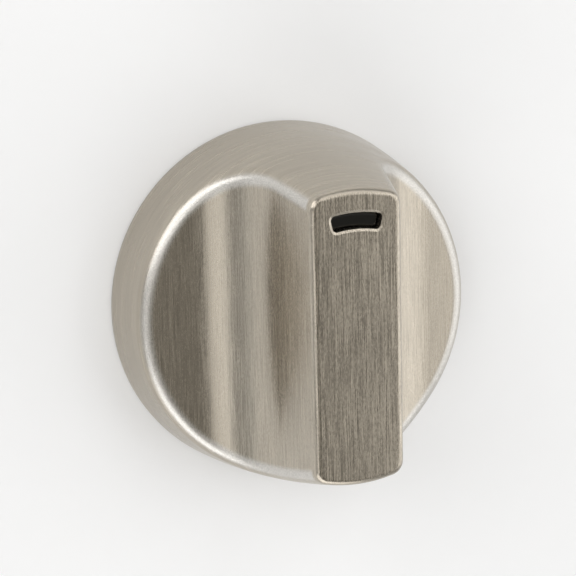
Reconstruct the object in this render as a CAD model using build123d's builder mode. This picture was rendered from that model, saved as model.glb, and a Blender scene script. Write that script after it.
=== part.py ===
from build123d import *
import os
from math import asin, cos, degrees, radians, tan

# Stove control knob: a cast metal shell with a bar grip, over a moulded hub that fits a D-shaped valve shaft.
# The origin is the middle of the back rim, +Z points out of the front and +Y along the bar to the indicator.

# Outer form of the shell
rim_diameter = 50.0  # across the back rim
crest_diameter = 38.3  # across the wall where it meets the grip face, before rounding
knob_height = 28.0  # rim plane to grip face
wall_bulge = 0.62  # outward bow of the wall over its whole height
bar_width = 12.1  # grip bar across its face, before rounding
bar_draft = 12.0  # lean of the bar's sides, in degrees
ledge_height = 10.1  # rim plane to the shoulders beside the bar, at the rim's radius
ledge_fall = 4.0  # slope of the shoulders down to the wall, in degrees
scoop_radius = 11.0  # hollow between the bar's side and the shoulder
ridge_round = 2.0  # edge where the scoops break through the wall
face_round = 0.9  # edge round the grip face
rim_band = 1.1  # straight band round the back edge
rim_bevel = 0.3  # outer edge of the back rim

# Section of the shell
wall = 2.2  # thickness of the casting
rim_land = 2.0  # width of the back rim
mouth_depth = 5.2  # rim plane to the step that the hub seats on

# Indicator slot near one end of the grip face
slot_length = 6.9  # overall, along the arc's chord
slot_width = 2.1
slot_inset = 3.9  # crest of the wall to the middle of the slot
slot_corner = 0.6
slot_bevel = 0.32  # width of the bevel round its edge
slot_bevel_depth = 0.12

# Indicator insert, pushed into the slot from inside
insert_sink = 1.1  # grip face to the top of the insert
insert_round = 0.4
insert_flange_reach = 0.7
insert_flange = 1.0  # thickness of the flange under the roof

# Valve shaft that the hub fits
shaft_diameter = 8.0
shaft_across_flat = 6.5
shaft_clearance = 0.05  # on each side of the shaft
socket_depth = 14.0
socket_lead = 0.5  # chamfer at the mouth of the socket

# Moulded hub
fit_clearance = 0.1  # hub in the shell, and insert in its slot
hub_recess = 1.0  # rim plane to the back of the hub
hub_ring = 1.8  # thickness of the wall that fits the shell's mouth
hub_plate = 2.0  # thickness of the floor between ring and stem
hub_edge_bevel = 0.4
stem_diameter = 12.8
stem_cap = 2.0  # solid end of the stem past the socket
back_rib_count = 6
back_rib = 1.6  # thickness
back_rib_recess = 0.6  # back of the hub to the back of its ribs
spine = 2.4  # thickness of the rib along the bar
cross_rib = 1.8  # thickness of the ribs across the bar, which turn the shell
cross_rib_pitch = 4.6
cross_rib_rows = 2  # on each side of the stem
hub_headroom = 3.5  # top of the ribs to the shell's roof

# Spring clip astride the web behind the socket's flat
clip_strip = 0.4  # thickness
clip_width = 5.0
clip_reach = 10.0  # length of its legs
clip_bow = 0.5  # swell of the inner leg into the socket
clip_bend = 0.3  # inside radius of its two bends
clip_play = 0.15  # room around the clip in its slot
clip_web = 1.6  # wall that the clip straddles
clip_sink = 0.3  # back of the hub to the back of the clip

# Slack for choosing edges by height
pick_margin = 0.01

# Sizes that follow
rim_radius = rim_diameter / 2
crest_radius = crest_diameter / 2
mouth_radius = rim_radius - rim_land
roof_underside = knob_height - wall
slot_radius = crest_radius - slot_inset
slot_near = slot_radius - slot_width / 2
slot_far = slot_radius + slot_width / 2
slot_half_angle = degrees(asin(slot_length / 2 / (slot_far - slot_corner)))
ring_radius = mouth_radius - fit_clearance
well_radius = ring_radius - hub_ring
well_floor = mouth_depth - hub_plate
stem_radius = stem_diameter / 2
stem_top = hub_recess + socket_depth + stem_cap
rib_top = roof_underside - hub_headroom
socket_radius = shaft_diameter / 2 + shaft_clearance
flat_y = shaft_diameter / 2 - shaft_across_flat - shaft_clearance
web_inside_y = flat_y - clip_strip
web_outside_y = web_inside_y - clip_web
clip_back = hub_recess + clip_sink
web_end = clip_back + clip_strip + clip_bend
clip_front = clip_back + clip_reach


def bar_form(inset):
    """Drum with scooped flanks and a bar grip, drawn in all round by inset."""
    foot_radius = rim_radius - inset
    top_radius = crest_radius - inset
    top = knob_height - inset
    lean = tan(radians(bar_draft))
    fall = tan(radians(ledge_fall))
    bar_top_x = bar_width / 2 - inset + inset * lean
    shoulder = ledge_height - inset / cos(radians(ledge_fall))
    drop = (top - shoulder - (rim_radius - bar_top_x) * fall) / (1 - lean * fall)
    with BuildPart() as form:
        with BuildSketch(Plane.XZ):
            with BuildLine():
                SagittaArc((foot_radius, rim_band), (top_radius, top), -wall_bulge)
                Polyline((top_radius, top), (0, top), (0, 0), (foot_radius, 0), (foot_radius, rim_band))
            make_face()
        revolve(axis=Axis.Z)
        with BuildSketch(Plane.XZ) as flank:
            with BuildLine():
                Polyline(
                    (bar_top_x, top),
                    (bar_top_x + drop * lean, top - drop),
                    (rim_diameter, shoulder - rim_radius * fall),
                    (rim_diameter, top),
                    close=True,
                )
            make_face()
            inner_corner = flank.vertices().sort_by(Axis.X)[1]
            fillet(inner_corner, scoop_radius + inset)
            mirror(about=Plane.YZ)
        extrude(amount=rim_diameter, both=True, mode=Mode.SUBTRACT)
    return form.part


def slot_outline(height, clearance):
    """Outline of the arc-shaped slot, concentric with the wall, made smaller by clearance."""
    with BuildSketch(Plane.XY.offset(height)) as outline:
        with BuildLine():
            arc_start = 90 - slot_half_angle
            near = CenterArc((0, 0), slot_near, arc_start, 2 * slot_half_angle)
            far = CenterArc((0, 0), slot_far, arc_start, 2 * slot_half_angle)
            Line(near @ 0, far @ 0)
            Line(near @ 1, far @ 1)
        make_face()
        fillet(outline.vertices(), slot_corner)
        if clearance:
            offset(amount=-clearance)
    return outline.sketch


outer_form = bar_form(0)
cavity_form = bar_form(wall)
rib_envelope = bar_form(wall + fit_clearance)

# Cast shell
with BuildPart() as knob_shell:
    add(outer_form)
    curved = knob_shell.edges().filter_by(GeomType.LINE, reverse=True)
    ridges = curved.filter_by_position(Axis.Z, ledge_height - pick_margin, knob_height - pick_margin)
    fillet(ridges, ridge_round)
    fillet(knob_shell.faces().sort_by(Axis.Z)[-1].edges(), face_round)
    chamfer(knob_shell.faces().sort_by(Axis.Z)[0].edges(), rim_bevel)
    add(cavity_form, mode=Mode.SUBTRACT)
    with BuildSketch(Plane.XY):
        Circle(mouth_radius)
    extrude(amount=mouth_depth, mode=Mode.SUBTRACT)
    extrude(slot_outline(knob_height, 0), amount=-2 * wall, mode=Mode.SUBTRACT)
    grip_face = knob_shell.faces().sort_by(Axis.Z)[-1]
    chamfer(grip_face.inner_wires()[0].edges(), slot_bevel, slot_bevel_depth, reference=grip_face)

# Flange of the indicator insert, trimmed to the hollow of the bar
with BuildPart() as flange:
    with BuildSketch(Plane.XY.offset(roof_underside)):
        Circle(slot_far + insert_flange_reach)
        Circle(slot_near - insert_flange_reach, mode=Mode.SUBTRACT)
        with Locations((0, slot_radius)):
            Rectangle(slot_length, slot_radius, mode=Mode.INTERSECT)
    extrude(amount=-insert_flange)
    add(cavity_form, mode=Mode.INTERSECT)

# Black insert that shows in the slot
with BuildPart() as indicator_insert:
    extrude(slot_outline(roof_underside, fit_clearance), amount=wall - insert_sink)
    fillet(indicator_insert.faces().sort_by(Axis.Z)[-1].edges(), insert_round)
    add(flange.part)

# Stem and ribs of the hub, trimmed to the hollow of the shell
with BuildPart() as hub_core:
    with BuildSketch(Plane.XY.offset(mouth_depth)):
        Circle(stem_radius)
    extrude(amount=stem_top - mouth_depth)
    with BuildSketch(Plane.XY.offset(mouth_depth)):
        Rectangle(spine, rim_diameter)
        for row in range(1, cross_rib_rows + 1):
            rib_y = stem_radius + row * cross_rib_pitch
            with Locations((0, rib_y), (0, -rib_y)):
                Rectangle(rim_diameter, cross_rib)
    extrude(amount=rib_top - mouth_depth)
    add(rib_envelope, mode=Mode.INTERSECT)

# Moulded hub with the shaft socket
with BuildPart() as hub_insert:
    with BuildSketch(Plane.XY.offset(hub_recess)):
        Circle(ring_radius)
    extrude(amount=mouth_depth - hub_recess)
    with BuildSketch(Plane.XY.offset(hub_recess)):
        Circle(well_radius)
        Circle(stem_radius, mode=Mode.SUBTRACT)
    extrude(amount=well_floor - hub_recess, mode=Mode.SUBTRACT)
    chamfer(hub_insert.faces().group_by(Axis.Z)[0].edges(), hub_edge_bevel)
    with BuildSketch(Plane.XY.offset(hub_recess + back_rib_recess)):
        with PolarLocations((stem_radius + well_radius) / 2, back_rib_count):
            Rectangle(well_radius - stem_radius + hub_ring, back_rib)
    extrude(amount=well_floor - hub_recess - back_rib_recess)
    add(hub_core.part)
    with BuildSketch(Plane.XY.offset(hub_recess)):
        Circle(socket_radius)
        with Locations((0, flat_y)):
            below_flat = (Align.CENTER, Align.MAX)
            Rectangle(2 * shaft_diameter, shaft_diameter, align=below_flat, mode=Mode.SUBTRACT)
    extrude(amount=socket_depth, mode=Mode.SUBTRACT)
    socket_mouth = hub_insert.edges().group_by(Axis.Z)[0].filter_by(
        lambda edge: edge.bounding_box().max.Y < (socket_radius + stem_radius) / 2
    )
    chamfer(socket_mouth, socket_lead)
    clip_room = clip_width + 2 * clip_play
    with BuildSketch(Plane.XY.offset(hub_recess)):
        with Locations((0, web_outside_y)):
            Rectangle(clip_room, clip_strip + clip_play, align=(Align.CENTER, Align.MAX))
        with Locations((0, web_inside_y)):
            Rectangle(clip_room, shaft_diameter / 2, align=(Align.CENTER, Align.MIN))
    extrude(amount=clip_front + clip_play - hub_recess, mode=Mode.SUBTRACT)
    with BuildSketch(Plane.XY.offset(hub_recess)):
        with Locations((0, web_outside_y)):
            Rectangle(clip_room, clip_web, align=(Align.CENTER, Align.MIN))
    extrude(amount=web_end - hub_recess, mode=Mode.SUBTRACT)

# Spring clip: a bent strip whose inner leg swells towards the shaft's flat
with BuildPart() as shaft_clip:
    with BuildSketch(Plane.YZ.offset(-clip_width / 2)):
        with BuildLine():
            inner_y = web_inside_y + clip_strip / 2
            outer_y = web_outside_y - clip_strip / 2
            bend_z = clip_back + clip_strip / 2
            FilletPolyline(
                (outer_y, clip_front),
                (outer_y, bend_z),
                (inner_y, bend_z),
                (inner_y, web_end),
                radius=clip_bend + clip_strip / 2,
            )
            ThreePointArc(
                (inner_y, web_end),
                (inner_y + clip_bow, (web_end + clip_front) / 2),
                (inner_y, clip_front),
            )
        trace(line_width=clip_strip)
    extrude(amount=clip_width)

os.makedirs("parts", exist_ok=True)
for piece, label in (
    (knob_shell, "knob_shell"),
    (indicator_insert, "indicator_insert"),
    (hub_insert, "hub_insert"),
    (shaft_clip, "shaft_clip"),
):
    piece.part.label = label
    export_step(piece.part, f"parts/{label}.step")
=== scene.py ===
import logging
import math
from abc import ABC, abstractmethod
from dataclasses import dataclass, field
from enum import Enum
from typing import Any, Union

import bmesh
import bpy
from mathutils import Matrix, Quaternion, Vector


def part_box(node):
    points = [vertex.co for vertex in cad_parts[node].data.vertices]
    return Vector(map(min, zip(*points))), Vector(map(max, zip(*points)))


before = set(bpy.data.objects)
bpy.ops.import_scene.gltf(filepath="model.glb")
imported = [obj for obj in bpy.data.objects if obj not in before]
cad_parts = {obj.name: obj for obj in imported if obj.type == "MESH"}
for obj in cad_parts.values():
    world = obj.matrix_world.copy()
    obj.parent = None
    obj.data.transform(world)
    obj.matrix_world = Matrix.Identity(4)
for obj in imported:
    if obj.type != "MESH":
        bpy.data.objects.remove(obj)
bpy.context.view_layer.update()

Colour = tuple[float, float, float]
Socket = bpy.types.NodeSocket
Value = Union[float, Socket]

MM = 0.001
NOISE_SHIFT = 0.37  # keeps flat faces off the planes where noise hardly varies
NOISE_SPAN = (0.2, 0.8)  # range that most of a noise pattern lies in
LINE_SPAN = (0.3, 0.7)  # the same for the smoother noise of brush lines and sparkle
QUARTER_TURN = 0.25

log = logging.getLogger("stove_knob")


class Piece(Enum):
    """CAD pieces of the knob, by the names of their nodes."""

    SHELL = "knob_shell"
    INDICATOR = "indicator_insert"
    HUB = "hub_insert"
    CLIP = "shaft_clip"


class Brush(Enum):
    """Ways that the brush lines run."""

    ALONG_BAR = "along_bar"
    ROUND_AXIS = "round_axis"


class Mixed(Enum):
    """What a Mix node mixes: its data type, its first input for that type and its output."""

    NUMBER = ("FLOAT", 2, 0)
    VECTOR = ("VECTOR", 4, 1)
    COLOUR = ("RGBA", 6, 2)


class Wiring:
    """Adds nodes to one shader tree and joins their sockets."""

    def __init__(self, tree: bpy.types.NodeTree) -> None:
        """Empties the node tree of a material or the world, and starts on it."""
        self.tree = tree
        self.tree.nodes.clear()

    def add(self, kind: str, **settings: Any) -> bpy.types.Node:
        """Adds one node.

        Args:
            kind: The node's type name, without the ShaderNode prefix.
            settings: Properties of the node, such as its operation.

        Returns:
            The new node.
        """
        node = self.tree.nodes.new(f"ShaderNode{kind}")
        for name, value in settings.items():
            setattr(node, name, value)
        return node

    def feed(self, target: Socket, value: Any) -> None:
        """Sets an input to a plain value, or joins it to another node's output.

        Args:
            target: The input socket.
            value: A number, a tuple or an output socket.
        """
        if isinstance(value, bpy.types.NodeSocket):
            self.tree.links.new(value, target)
        else:
            target.default_value = value

    def math(self, operation: str, *values: Value) -> Socket:
        """Adds a Math node.

        Args:
            operation: The node's operation.
            values: Its inputs, in order.

        Returns:
            The node's output.
        """
        node = self.add("Math", operation=operation)
        for target, value in zip(node.inputs, values):
            self.feed(target, value)
        return node.outputs[0]

    def place(self) -> tuple[Socket, Socket, Socket]:
        """Reads where on the knob the shader is.

        Returns:
            The x, y and z sockets, in millimetres.
        """
        scaled = self.add("VectorMath", operation="SCALE")
        self.feed(scaled.inputs[0], self.add("TexCoord").outputs["Object"])
        self.feed(scaled.inputs["Scale"], 1.0 / MM)
        parts = self.add("SeparateXYZ")
        self.feed(parts.inputs[0], scaled.outputs[0])
        return tuple(parts.outputs)

    def vector(self, x: Value, y: Value, z: Value) -> Socket:
        """Puts three numbers together as a vector.

        Args:
            x: First component.
            y: Second component.
            z: Third component.

        Returns:
            The vector's socket.
        """
        node = self.add("CombineXYZ")
        for target, value in zip(node.inputs, (x, y, z)):
            self.feed(target, value)
        return node.outputs[0]

    def ramp(
        self, value: Socket, start: float, end: float, low: float = 0.0, high: float = 1.0
    ) -> Socket:
        """Maps a range of a value smoothly onto another one.

        Args:
            value: The number that is mapped.
            start: The number that gives low.
            end: The number that gives high.
            low: Result at and before start.
            high: Result at and past end.

        Returns:
            The mapped number's socket.
        """
        node = self.add("MapRange", interpolation_type="SMOOTHSTEP")
        for target, part in zip(node.inputs, (value, start, end, low, high)):
            self.feed(target, part)
        return node.outputs[0]

    def spread(self, pattern: Socket, low: float, high: float) -> Socket:
        """Maps the range that most of a noise pattern lies in onto low to high."""
        return self.ramp(pattern, *NOISE_SPAN, low, high)

    def noise(
        self, cells: tuple[float, float, float], detail: float = 2.0, roughness: float = 0.55
    ) -> Socket:
        """Adds a noise pattern that is stretched along the axes.

        Args:
            cells: Size of the pattern's cells along x, y and z, in millimetres.
            detail: Number of finer layers.
            roughness: Share that each finer layer keeps.

        Returns:
            The pattern's value, about 0.5 on average.
        """
        stretched = [
            self.math("MULTIPLY_ADD", part, 1.0 / cell, NOISE_SHIFT)
            for part, cell in zip(self.place(), cells)
        ]
        node = self.add("TexNoise")
        self.feed(node.inputs["Vector"], self.vector(*stretched))
        self.feed(node.inputs["Scale"], 1.0)
        self.feed(node.inputs["Detail"], detail)
        self.feed(node.inputs["Roughness"], roughness)
        return node.outputs[0]

    def mix(self, kind: Mixed, share: Value, low: Any, high: Any) -> Socket:
        """Mixes two numbers, vectors or colours.

        Args:
            kind: What is mixed.
            share: 0 gives low and 1 gives high.
            low: First value or socket.
            high: Second value or socket.

        Returns:
            The mixed value's socket.
        """
        data_type, first, result = kind.value
        node = self.add("Mix", data_type=data_type)
        self.feed(node.inputs[0], share)
        self.feed(node.inputs[first], low)
        self.feed(node.inputs[first + 1], high)
        return node.outputs[result]

    def deepen(self, colour: Colour, depth: Socket) -> Socket:
        """Makes a colour darker or lighter from place to place.

        Args:
            colour: The colour.
            depth: What the colour is multiplied by.

        Returns:
            The varied colour's socket.
        """
        node = self.add("VectorMath", operation="SCALE")
        self.feed(node.inputs[0], colour)
        self.feed(node.inputs["Scale"], depth)
        return node.outputs[0]

    def bump(self, height: Socket, strength: float, depth: float) -> Socket:
        """Turns a height pattern into a bumped normal.

        Args:
            height: The pattern.
            strength: Share of the full effect.
            depth: Depth of the pattern, in millimetres.

        Returns:
            The normal's socket.
        """
        node = self.add("Bump")
        self.feed(node.inputs["Strength"], strength)
        self.feed(node.inputs["Distance"], depth * MM)
        self.feed(node.inputs["Height"], height)
        return node.outputs[0]


@dataclass(frozen=True, kw_only=True)
class Finish(ABC):
    """A surface finish that becomes one procedural material."""

    name: str
    tone: Colour
    roughness: float

    def material(self) -> bpy.types.Material:
        """Builds the material.

        Returns:
            The material, with one Principled shader.
        """
        material = bpy.data.materials.new(self.name)
        material.use_nodes = True
        wiring = Wiring(material.node_tree)
        shader = wiring.add("BsdfPrincipled")
        output = wiring.add("OutputMaterial")
        wiring.feed(output.inputs["Surface"], shader.outputs[0])
        self.wire(wiring, shader)
        return material

    @abstractmethod
    def wire(self, wiring: Wiring, shader: bpy.types.Node) -> None:
        """Sets the shader's inputs.

        Args:
            wiring: The material's wiring.
            shader: Its Principled shader.
        """


@dataclass(frozen=True, kw_only=True)
class DrumForm:
    """The drum that the shell is cut from, in millimetres, which tells its wall from its other faces."""

    rim_radius: float
    height: float
    crest_radius: float = 19.15
    wall_bulge: float = 0.62
    rim_band: float = 1.1
    edge_near: float = 0.1
    edge_far: float = 0.6
    face_edge: float = 0.35
    face_margin: float = 0.05
    ridge_near: float = 1.1
    ridge_far: float = 1.9
    ridge_foot: float = 6.0
    ridge_foot_fade: float = 1.0
    ridge_top: float = 26.6
    ridge_top_fade: float = 0.5

    def inside(self, wiring: Wiring) -> Socket:
        """Measures how far in from the outer wall a place lies.

        Args:
            wiring: The material's wiring.

        Returns:
            The distance's socket, in millimetres.
        """
        x, y, z = wiring.place()
        squares = wiring.math("MULTIPLY_ADD", x, x, wiring.math("MULTIPLY", y, y))
        radius = wiring.math("SQRT", squares)
        above_band = wiring.math("MAXIMUM", wiring.math("SUBTRACT", z, self.rim_band), 0.0)
        rise = wiring.math("DIVIDE", above_band, self.height - self.rim_band)
        lean = self.crest_radius - self.rim_radius
        straight = wiring.math("MULTIPLY_ADD", rise, lean, self.rim_radius)
        bow = wiring.math("MULTIPLY", rise, wiring.math("SUBTRACT", 1.0, rise))
        # rise * (1 - rise) is a quarter halfway up, where the wall bows out by its full bulge
        wall_radius = wiring.math("MULTIPLY_ADD", bow, 4.0 * self.wall_bulge, straight)
        return wiring.math("SUBTRACT", wall_radius, radius)

    def wall_share(self, wiring: Wiring) -> Socket:
        """Gives a socket that is 1 on the outer wall and 0 on the bar, scoops and shoulders."""
        return wiring.ramp(self.inside(wiring), self.edge_near, self.edge_far, 1.0, 0.0)

    def ridge_share(self, wiring: Wiring) -> Socket:
        """Marks the rounded ridge where the scoops break through the wall.

        Args:
            wiring: The material's wiring.

        Returns:
            A socket that is 1 along the ridge and 0 away from it.
        """
        inside, height = self.inside(wiring), wiring.place()[2]
        band = wiring.math(
            "MULTIPLY",
            wiring.ramp(inside, self.edge_near, self.edge_far),
            wiring.ramp(inside, self.ridge_near, self.ridge_far, 1.0, 0.0),
        )
        span = wiring.math(
            "MULTIPLY",
            wiring.ramp(height, self.ridge_foot, self.ridge_foot + self.ridge_foot_fade),
            wiring.ramp(height, self.ridge_top, self.ridge_top + self.ridge_top_fade, 1.0, 0.0),
        )
        return wiring.math("MULTIPLY", band, span)

    def face_share(self, wiring: Wiring) -> Socket:
        """Gives a socket that is 1 on the bar's flat face and 0 past its rounded edge."""
        height = wiring.place()[2]
        return wiring.ramp(height, self.height - self.face_edge, self.height - self.face_margin)


@dataclass(frozen=True, kw_only=True)
class BrushLines:
    """Sizes of the brush lines on one kind of surface, in millimetres."""

    pitch: float
    length: float
    scratch_length: float


@dataclass(frozen=True, kw_only=True)
class BrushedMetal(Finish):
    """Warm grey metal with fine brush lines, straight along the bar and round the outer wall.

    The ridge between them gets a lighter metal tone with a random grain, which is a painted highlight. A
    contrast is the share by which a line is lighter or darker, and the swing is how much rougher or
    smoother it is.
    """

    drum: DrumForm
    name: str = "brushed_metal"
    tone: Colour = (0.446, 0.403, 0.338)
    roughness: float = 0.23
    face_roughness: float = 0.25
    ridge_roughness: float = 0.34
    roughness_swing: float = 0.07
    anisotropy: float = 0.5
    bar_lines: BrushLines = BrushLines(pitch=0.075, length=6.0, scratch_length=0.5)
    wall_lines: BrushLines = BrushLines(pitch=0.35, length=20.0, scratch_length=5.0)
    scratch_share: float = 0.4
    line_detail: float = 1.0
    line_fineness: float = 0.6
    line_depth: float = 0.0005
    face_contrast: float = 0.42
    bar_contrast: float = 0.24
    wall_contrast: float = 0.08
    # lighter metal tone along the ridge and its grain range: a painted highlight
    ridge_highlight_tone: Colour = (0.61, 0.59, 0.555)
    ridge_depths: tuple[float, float] = (0.85, 1.12)
    sparkle_size: float = 0.16
    sparkle_detail: float = 1.0
    sparkle_depth: float = 0.024

    def wire(self, wiring: Wiring, shader: bpy.types.Node) -> None:
        """Sets the shader's inputs.

        Args:
            wiring: The material's wiring.
            shader: Its Principled shader.
        """
        wall, face = self.drum.wall_share(wiring), self.drum.face_share(wiring)
        heights = [self.lines(wiring, brush) for brush in (Brush.ALONG_BAR, Brush.ROUND_AXIS)]
        ways = [self.direction(wiring, brush) for brush in (Brush.ALONG_BAR, Brush.ROUND_AXIS)]
        height = wiring.mix(Mixed.NUMBER, wall, *heights)
        contrast = wiring.mix(Mixed.NUMBER, face, self.bar_contrast, self.face_contrast)
        contrast = wiring.mix(Mixed.NUMBER, wall, contrast, self.wall_contrast)
        shine = wiring.ramp(height, *LINE_SPAN, -1.0, 1.0)
        depth = wiring.math("MULTIPLY_ADD", shine, contrast, 1.0)
        ridge = self.drum.ridge_share(wiring)
        grain = wiring.noise((self.sparkle_size,) * 3, detail=self.sparkle_detail)
        brushed = wiring.deepen(self.tone, depth)
        # painted highlight: the ridge's lighter tone, varied by the sparkle grain, stands in for the
        # bright line along the ridge
        painted_ridge_highlight = wiring.deepen(self.ridge_highlight_tone, wiring.ramp(grain, *LINE_SPAN, *self.ridge_depths))
        wiring.feed(shader.inputs["Base Color"], wiring.mix(Mixed.COLOUR, ridge, brushed, painted_ridge_highlight))
        roughness = wiring.mix(Mixed.NUMBER, face, self.roughness, self.face_roughness)
        roughness = wiring.mix(Mixed.NUMBER, ridge, roughness, self.ridge_roughness)
        roughness = wiring.math("MULTIPLY_ADD", shine, self.roughness_swing, roughness)
        wiring.feed(shader.inputs["Roughness"], roughness)
        wiring.feed(shader.inputs["Tangent"], wiring.mix(Mixed.VECTOR, wall, *ways))
        sparkle = wiring.math("MULTIPLY", grain, wiring.math("MULTIPLY", ridge, self.sparkle_depth))
        relief = wiring.math("MULTIPLY_ADD", height, self.line_depth, sparkle)
        wiring.feed(shader.inputs["Normal"], wiring.bump(relief, 1.0, 1.0))
        shader.inputs["Metallic"].default_value = 1.0
        shader.inputs["Anisotropic"].default_value = self.anisotropy
        shader.inputs["Anisotropic Rotation"].default_value = QUARTER_TURN

    def lines(self, wiring: Wiring, brush: Brush) -> Socket:
        """Draws the brush lines, with short scratches among the long ones.

        Args:
            wiring: The material's wiring.
            brush: The way that they run.

        Returns:
            The lines' height, about 0.5 on average.
        """
        sizes = self.bar_lines if brush is Brush.ALONG_BAR else self.wall_lines
        layers = []
        for length in (sizes.length, sizes.scratch_length):
            across = sizes.pitch if brush is Brush.ALONG_BAR else length
            cells = (across, length, sizes.pitch)
            layers.append(wiring.noise(cells, detail=self.line_detail, roughness=self.line_fineness))
        return wiring.mix(Mixed.NUMBER, self.scratch_share, *layers)

    def direction(self, wiring: Wiring, brush: Brush) -> Socket:
        """Gives the way that the brush lines run, for the stretch of the highlights.

        Args:
            wiring: The material's wiring.
            brush: The way that the lines run.

        Returns:
            The direction's socket.
        """
        if brush is Brush.ALONG_BAR:
            return wiring.vector(0.0, 1.0, 0.0)
        x, y, _ = wiring.place()
        size = self.drum.rim_radius
        return wiring.vector(wiring.math("DIVIDE", y, -size), wiring.math("DIVIDE", x, size), 0.0)


@dataclass(frozen=True, kw_only=True)
class GlossPlastic(Finish):
    """Deep black glossy plastic of the indicator, slightly uneven from moulding."""

    name: str = "gloss_black"
    tone: Colour = (0.004, 0.004, 0.003)
    roughness: float = 0.04
    roughness_rise: float = 0.05
    specular: float = 0.45
    flow_size: float = 0.5
    flow_depths: tuple[float, float] = (0.8, 1.5)

    def wire(self, wiring: Wiring, shader: bpy.types.Node) -> None:
        """Sets the shader's inputs.

        Args:
            wiring: The material's wiring.
            shader: Its Principled shader.
        """
        flow = wiring.noise((self.flow_size,) * 3)
        depth = wiring.spread(flow, *self.flow_depths)
        wiring.feed(shader.inputs["Base Color"], wiring.deepen(self.tone, depth))
        roughness = wiring.spread(flow, self.roughness, self.roughness + self.roughness_rise)
        wiring.feed(shader.inputs["Roughness"], roughness)
        shader.inputs["Specular IOR Level"].default_value = self.specular


@dataclass(frozen=True, kw_only=True)
class MouldedPlastic(Finish):
    """Dark moulded plastic with a fine satin grain."""

    name: str = "hub_black"
    tone: Colour = (0.035, 0.035, 0.036)
    roughness: float = 0.55
    roughness_rise: float = 0.12
    grain_size: float = 0.25
    grain_depth: float = 0.02
    grain_strength: float = 0.4
    grain_depths: tuple[float, float] = (0.8, 1.3)

    def wire(self, wiring: Wiring, shader: bpy.types.Node) -> None:
        """Sets the shader's inputs.

        Args:
            wiring: The material's wiring.
            shader: Its Principled shader.
        """
        grain = wiring.noise((self.grain_size,) * 3)
        depth = wiring.spread(grain, *self.grain_depths)
        wiring.feed(shader.inputs["Base Color"], wiring.deepen(self.tone, depth))
        roughness = wiring.spread(grain, self.roughness, self.roughness + self.roughness_rise)
        wiring.feed(shader.inputs["Roughness"], roughness)
        wiring.feed(shader.inputs["Normal"], wiring.bump(grain, self.grain_strength, self.grain_depth))


@dataclass(frozen=True, kw_only=True)
class SpringSteel(Finish):
    """Bare spring steel with rolling marks along the strip."""

    name: str = "spring_steel"
    tone: Colour = (0.50, 0.49, 0.48)
    roughness: float = 0.30
    roughness_rise: float = 0.15
    mark_width: float = 0.15
    mark_length: float = 3.0
    mark_depth: float = 0.005
    mark_strength: float = 0.3
    mark_depths: tuple[float, float] = (0.8, 1.15)

    def wire(self, wiring: Wiring, shader: bpy.types.Node) -> None:
        """Sets the shader's inputs.

        Args:
            wiring: The material's wiring.
            shader: Its Principled shader.
        """
        marks = wiring.noise((self.mark_width, self.mark_length, self.mark_length))
        depth = wiring.spread(marks, *self.mark_depths)
        wiring.feed(shader.inputs["Base Color"], wiring.deepen(self.tone, depth))
        roughness = wiring.spread(marks, self.roughness, self.roughness + self.roughness_rise)
        wiring.feed(shader.inputs["Roughness"], roughness)
        wiring.feed(shader.inputs["Normal"], wiring.bump(marks, self.mark_strength, self.mark_depth))
        shader.inputs["Metallic"].default_value = 1.0


@dataclass(frozen=True, kw_only=True)
class StageWhite(Finish):
    """Matt white sheet of the studio, with a trace of paper grain."""

    name: str = "stage_white"
    tone: Colour = (0.92, 0.925, 0.935)
    roughness: float = 0.9
    grain_size: float = 4.0
    grain_depths: tuple[float, float] = (0.998, 1.002)

    def wire(self, wiring: Wiring, shader: bpy.types.Node) -> None:
        """Sets the shader's inputs.

        Args:
            wiring: The material's wiring.
            shader: Its Principled shader.
        """
        depth = wiring.spread(wiring.noise((self.grain_size,) * 3), *self.grain_depths)
        wiring.feed(shader.inputs["Base Color"], wiring.deepen(self.tone, depth))
        shader.inputs["Roughness"].default_value = self.roughness
        shader.inputs["Specular IOR Level"].default_value = 0.0


def dress(piece: Piece, finish: Finish) -> bpy.types.Object:
    """Gives a CAD piece its finish.

    Args:
        piece: The piece, whose shape stays as it is.
        finish: What it wears.

    Returns:
        The dressed object.
    """
    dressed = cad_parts[piece.value]
    dressed.data.materials.clear()
    dressed.data.materials.append(finish.material())
    log.info("%s wears %s", piece.value, finish.name)
    return dressed


@dataclass
class Grip:
    """Front of the knob: the metal shell with its bar, and the indicator in the bar's slot."""

    metal: BrushedMetal
    gloss: GlossPlastic = field(default_factory=GlossPlastic)

    @classmethod
    def from_frame(cls) -> "Grip":
        """Gives a grip whose metal knows the shell's size."""
        _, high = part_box(Piece.SHELL.value)
        return cls(BrushedMetal(drum=DrumForm(rim_radius=high.x / MM, height=high.z / MM)))

    def build(self) -> None:
        """Dresses the shell and the indicator."""
        dress(Piece.SHELL, self.metal)
        dress(Piece.INDICATOR, self.gloss)


@dataclass
class ShaftFitting:
    """Back of the knob: the moulded hub with its socket, and the spring clip in it."""

    plastic: MouldedPlastic = field(default_factory=MouldedPlastic)
    steel: SpringSteel = field(default_factory=SpringSteel)

    def build(self) -> None:
        """Dresses the hub and the clip."""
        dress(Piece.HUB, self.plastic)
        dress(Piece.CLIP, self.steel)


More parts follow.
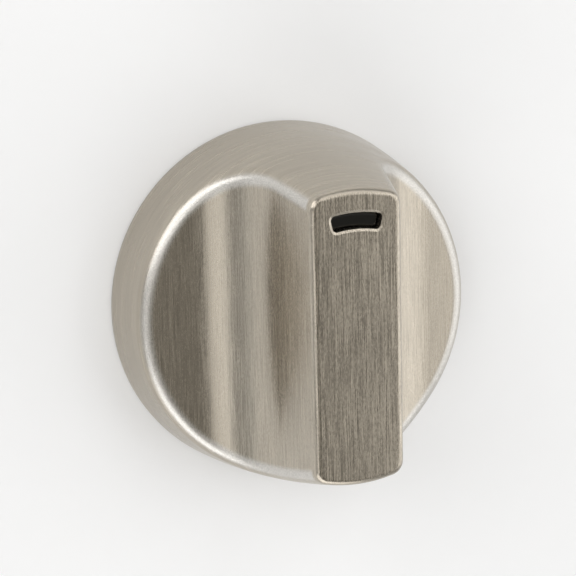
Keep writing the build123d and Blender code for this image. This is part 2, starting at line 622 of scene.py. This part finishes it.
@dataclass
class PhotoCamera:
    """The camera, placed by the angles at which the knob was photographed."""

    aim: Vector = field(default_factory=lambda: Vector((-4.218, 4.343, 14.0)) * MM)
    azimuth: float = -122.754
    elevation: float = 66.432
    roll: float = 119.03
    distance: float = 212.38 * MM
    lens: float = 100.0
    sensor: float = 36.0
    clip_shares: tuple[float, float] = (0.01, 100.0)

    def build(self) -> bpy.types.Object:
        """Makes the camera and gives it to the scene.

        Returns:
            The camera.
        """
        turn, rise = math.radians(self.azimuth), math.radians(self.elevation)
        back = Vector((math.sin(turn) * math.cos(rise), -math.cos(turn) * math.cos(rise), math.sin(rise)))
        data = bpy.data.cameras.new("photo_camera")
        data.lens = self.lens
        data.sensor_width = self.sensor
        data.clip_start, data.clip_end = (self.distance * share for share in self.clip_shares)
        camera = bpy.data.objects.new("photo_camera", data)
        camera.rotation_mode = "QUATERNION"
        camera.location = self.aim + back * self.distance
        roll = Quaternion((0.0, 0.0, 1.0), math.radians(self.roll))
        camera.rotation_quaternion = (-back).to_track_quat("-Z", "Y") @ roll
        bpy.context.scene.collection.objects.link(camera)
        bpy.context.scene.camera = camera
        log.info("camera at azimuth %.1f, elevation %.1f", self.azimuth, self.elevation)
        return camera


@dataclass(frozen=True)
class SoftBox:
    """One soft lamp that faces the knob, placed and sized by the angles at which the knob sees it.

    The azimuth runs from +X towards +Y, the spread gives half the lamp's width and height in degrees,
    and the level is the brightness of its face, where 1 is white.
    """

    name: str
    azimuth: float
    elevation: float
    spread: tuple[float, float]
    level: float
    tone: Colour = (1.0, 1.0, 1.0)
    distance: float = 3.6
    watts_per_level: float = 4.0

    def build(self) -> bpy.types.Object:
        """Makes the lamp.

        Returns:
            The lamp.
        """
        turn, rise = math.radians(self.azimuth), math.radians(self.elevation)
        level_out = math.cos(rise)
        towards = Vector((math.cos(turn) * level_out, math.sin(turn) * level_out, math.sin(rise)))
        width, height = (2.0 * self.distance * math.tan(math.radians(half)) for half in self.spread)
        data = bpy.data.lights.new(self.name, "AREA")
        data.shape = "RECTANGLE"
        data.size, data.size_y = width, height
        data.color = self.tone
        data.energy = self.level * self.watts_per_level * width * height
        lamp = bpy.data.objects.new(self.name, data)
        lamp.location = towards * self.distance
        lamp.rotation_mode = "QUATERNION"
        lamp.rotation_quaternion = (-towards).to_track_quat("-Z", "Y")
        lamp.visible_camera = False
        bpy.context.scene.collection.objects.link(lamp)
        return lamp


@dataclass
class Studio:
    """Plain pale floor that curves up into a backdrop, soft lamps and dim surroundings."""

    floor_radius: float = 4.4
    cove_radius: float = 2.0
    wall_height: float = 3.6
    spin_steps: int = 96
    cove_steps: int = 12
    merge_distance: float = 1e-6
    sheet: StageWhite = field(default_factory=StageWhite)
    room_tone: Colour = (1.0, 0.96, 0.88)
    room_level: float = 0.30
    boxes: tuple[SoftBox, ...] = (
        SoftBox("key_box", 252.0, 24.0, (36.0, 20.0), 1.16),
        SoftBox("right_box", 356.0, 30.0, (27.0, 31.0), 0.79),
        SoftBox("back_box", 60.0, 52.0, (24.0, 20.0), 0.83),
        SoftBox("edge_box_low", 147.0, 26.0, (20.0, 19.0), 1.45),
        SoftBox("edge_box_high", 147.0, 59.0, (10.0, 14.0), 1.4),
        SoftBox("scoop_strip", 199.0, 47.0, (9.0, 13.0), 0.8),
        SoftBox("window_box", 195.0, 5.0, (12.0, 6.0), 0.2, (0.92, 0.98, 1.0)),
    )

    def build(self) -> None:
        """Makes the floor, the lamps and the surroundings."""
        self.build_cove()
        for box in self.boxes:
            box.build()
        self.build_room()
        bpy.context.scene.view_settings.view_transform = "Standard"
        log.info("studio has %d soft boxes", len(self.boxes))

    def cove_profile(self) -> list[Vector]:
        """Draws half of the cove's section.

        Returns:
            Points from the middle of the floor, out and up to the top of the backdrop.
        """
        points = [Vector((0.0, 0.0, 0.0))]
        for step in range(self.cove_steps + 1):
            turn = 0.5 * math.pi * step / self.cove_steps
            out, up = self.cove_radius * math.sin(turn), self.cove_radius * (1.0 - math.cos(turn))
            points.append(Vector((self.floor_radius + out, 0.0, up)))
        points.append(points[-1] + Vector((0.0, 0.0, self.wall_height)))
        return points

    def build_cove(self) -> bpy.types.Object:
        """Spins the floor and backdrop as one sheet.

        Returns:
            The stage object.
        """
        sheet = bmesh.new()
        verts = [sheet.verts.new(point) for point in self.cove_profile()]
        edges = [sheet.edges.new(pair) for pair in zip(verts, verts[1:])]
        bmesh.ops.spin(
            sheet, geom=verts + edges, cent=(0.0, 0.0, 0.0), axis=(0.0, 0.0, 1.0), angle=2.0 * math.pi,
            steps=self.spin_steps, use_merge=True,
        )
        bmesh.ops.remove_doubles(sheet, verts=sheet.verts, dist=self.merge_distance)
        bmesh.ops.recalc_face_normals(sheet, faces=sheet.faces)
        mesh = bpy.data.meshes.new("cove")
        sheet.to_mesh(mesh)
        sheet.free()
        mesh.shade_smooth()
        mesh.materials.append(self.sheet.material())
        cove = bpy.data.objects.new("cove", mesh)
        bpy.context.scene.collection.objects.link(cove)
        return cove

    def build_room(self) -> None:
        """Sets the dim surroundings that the lamps stand in."""
        world = bpy.data.worlds.new("room")
        world.use_nodes = True
        wiring = Wiring(world.node_tree)
        light = wiring.add("Background")
        light.inputs["Color"].default_value = (*self.room_tone, 1.0)
        light.inputs["Strength"].default_value = self.room_level
        output = wiring.add("OutputWorld")
        wiring.feed(output.inputs["Surface"], light.outputs[0])
        bpy.context.scene.world = world


def main() -> None:
    """Dresses the knob, then sets the camera and the studio round it."""
    logging.basicConfig(level=logging.INFO, format="%(name)s: %(message)s")
    Grip.from_frame().build()
    ShaftFitting().build()
    PhotoCamera().build()
    Studio().build()


if __name__ == "__main__":
    main()
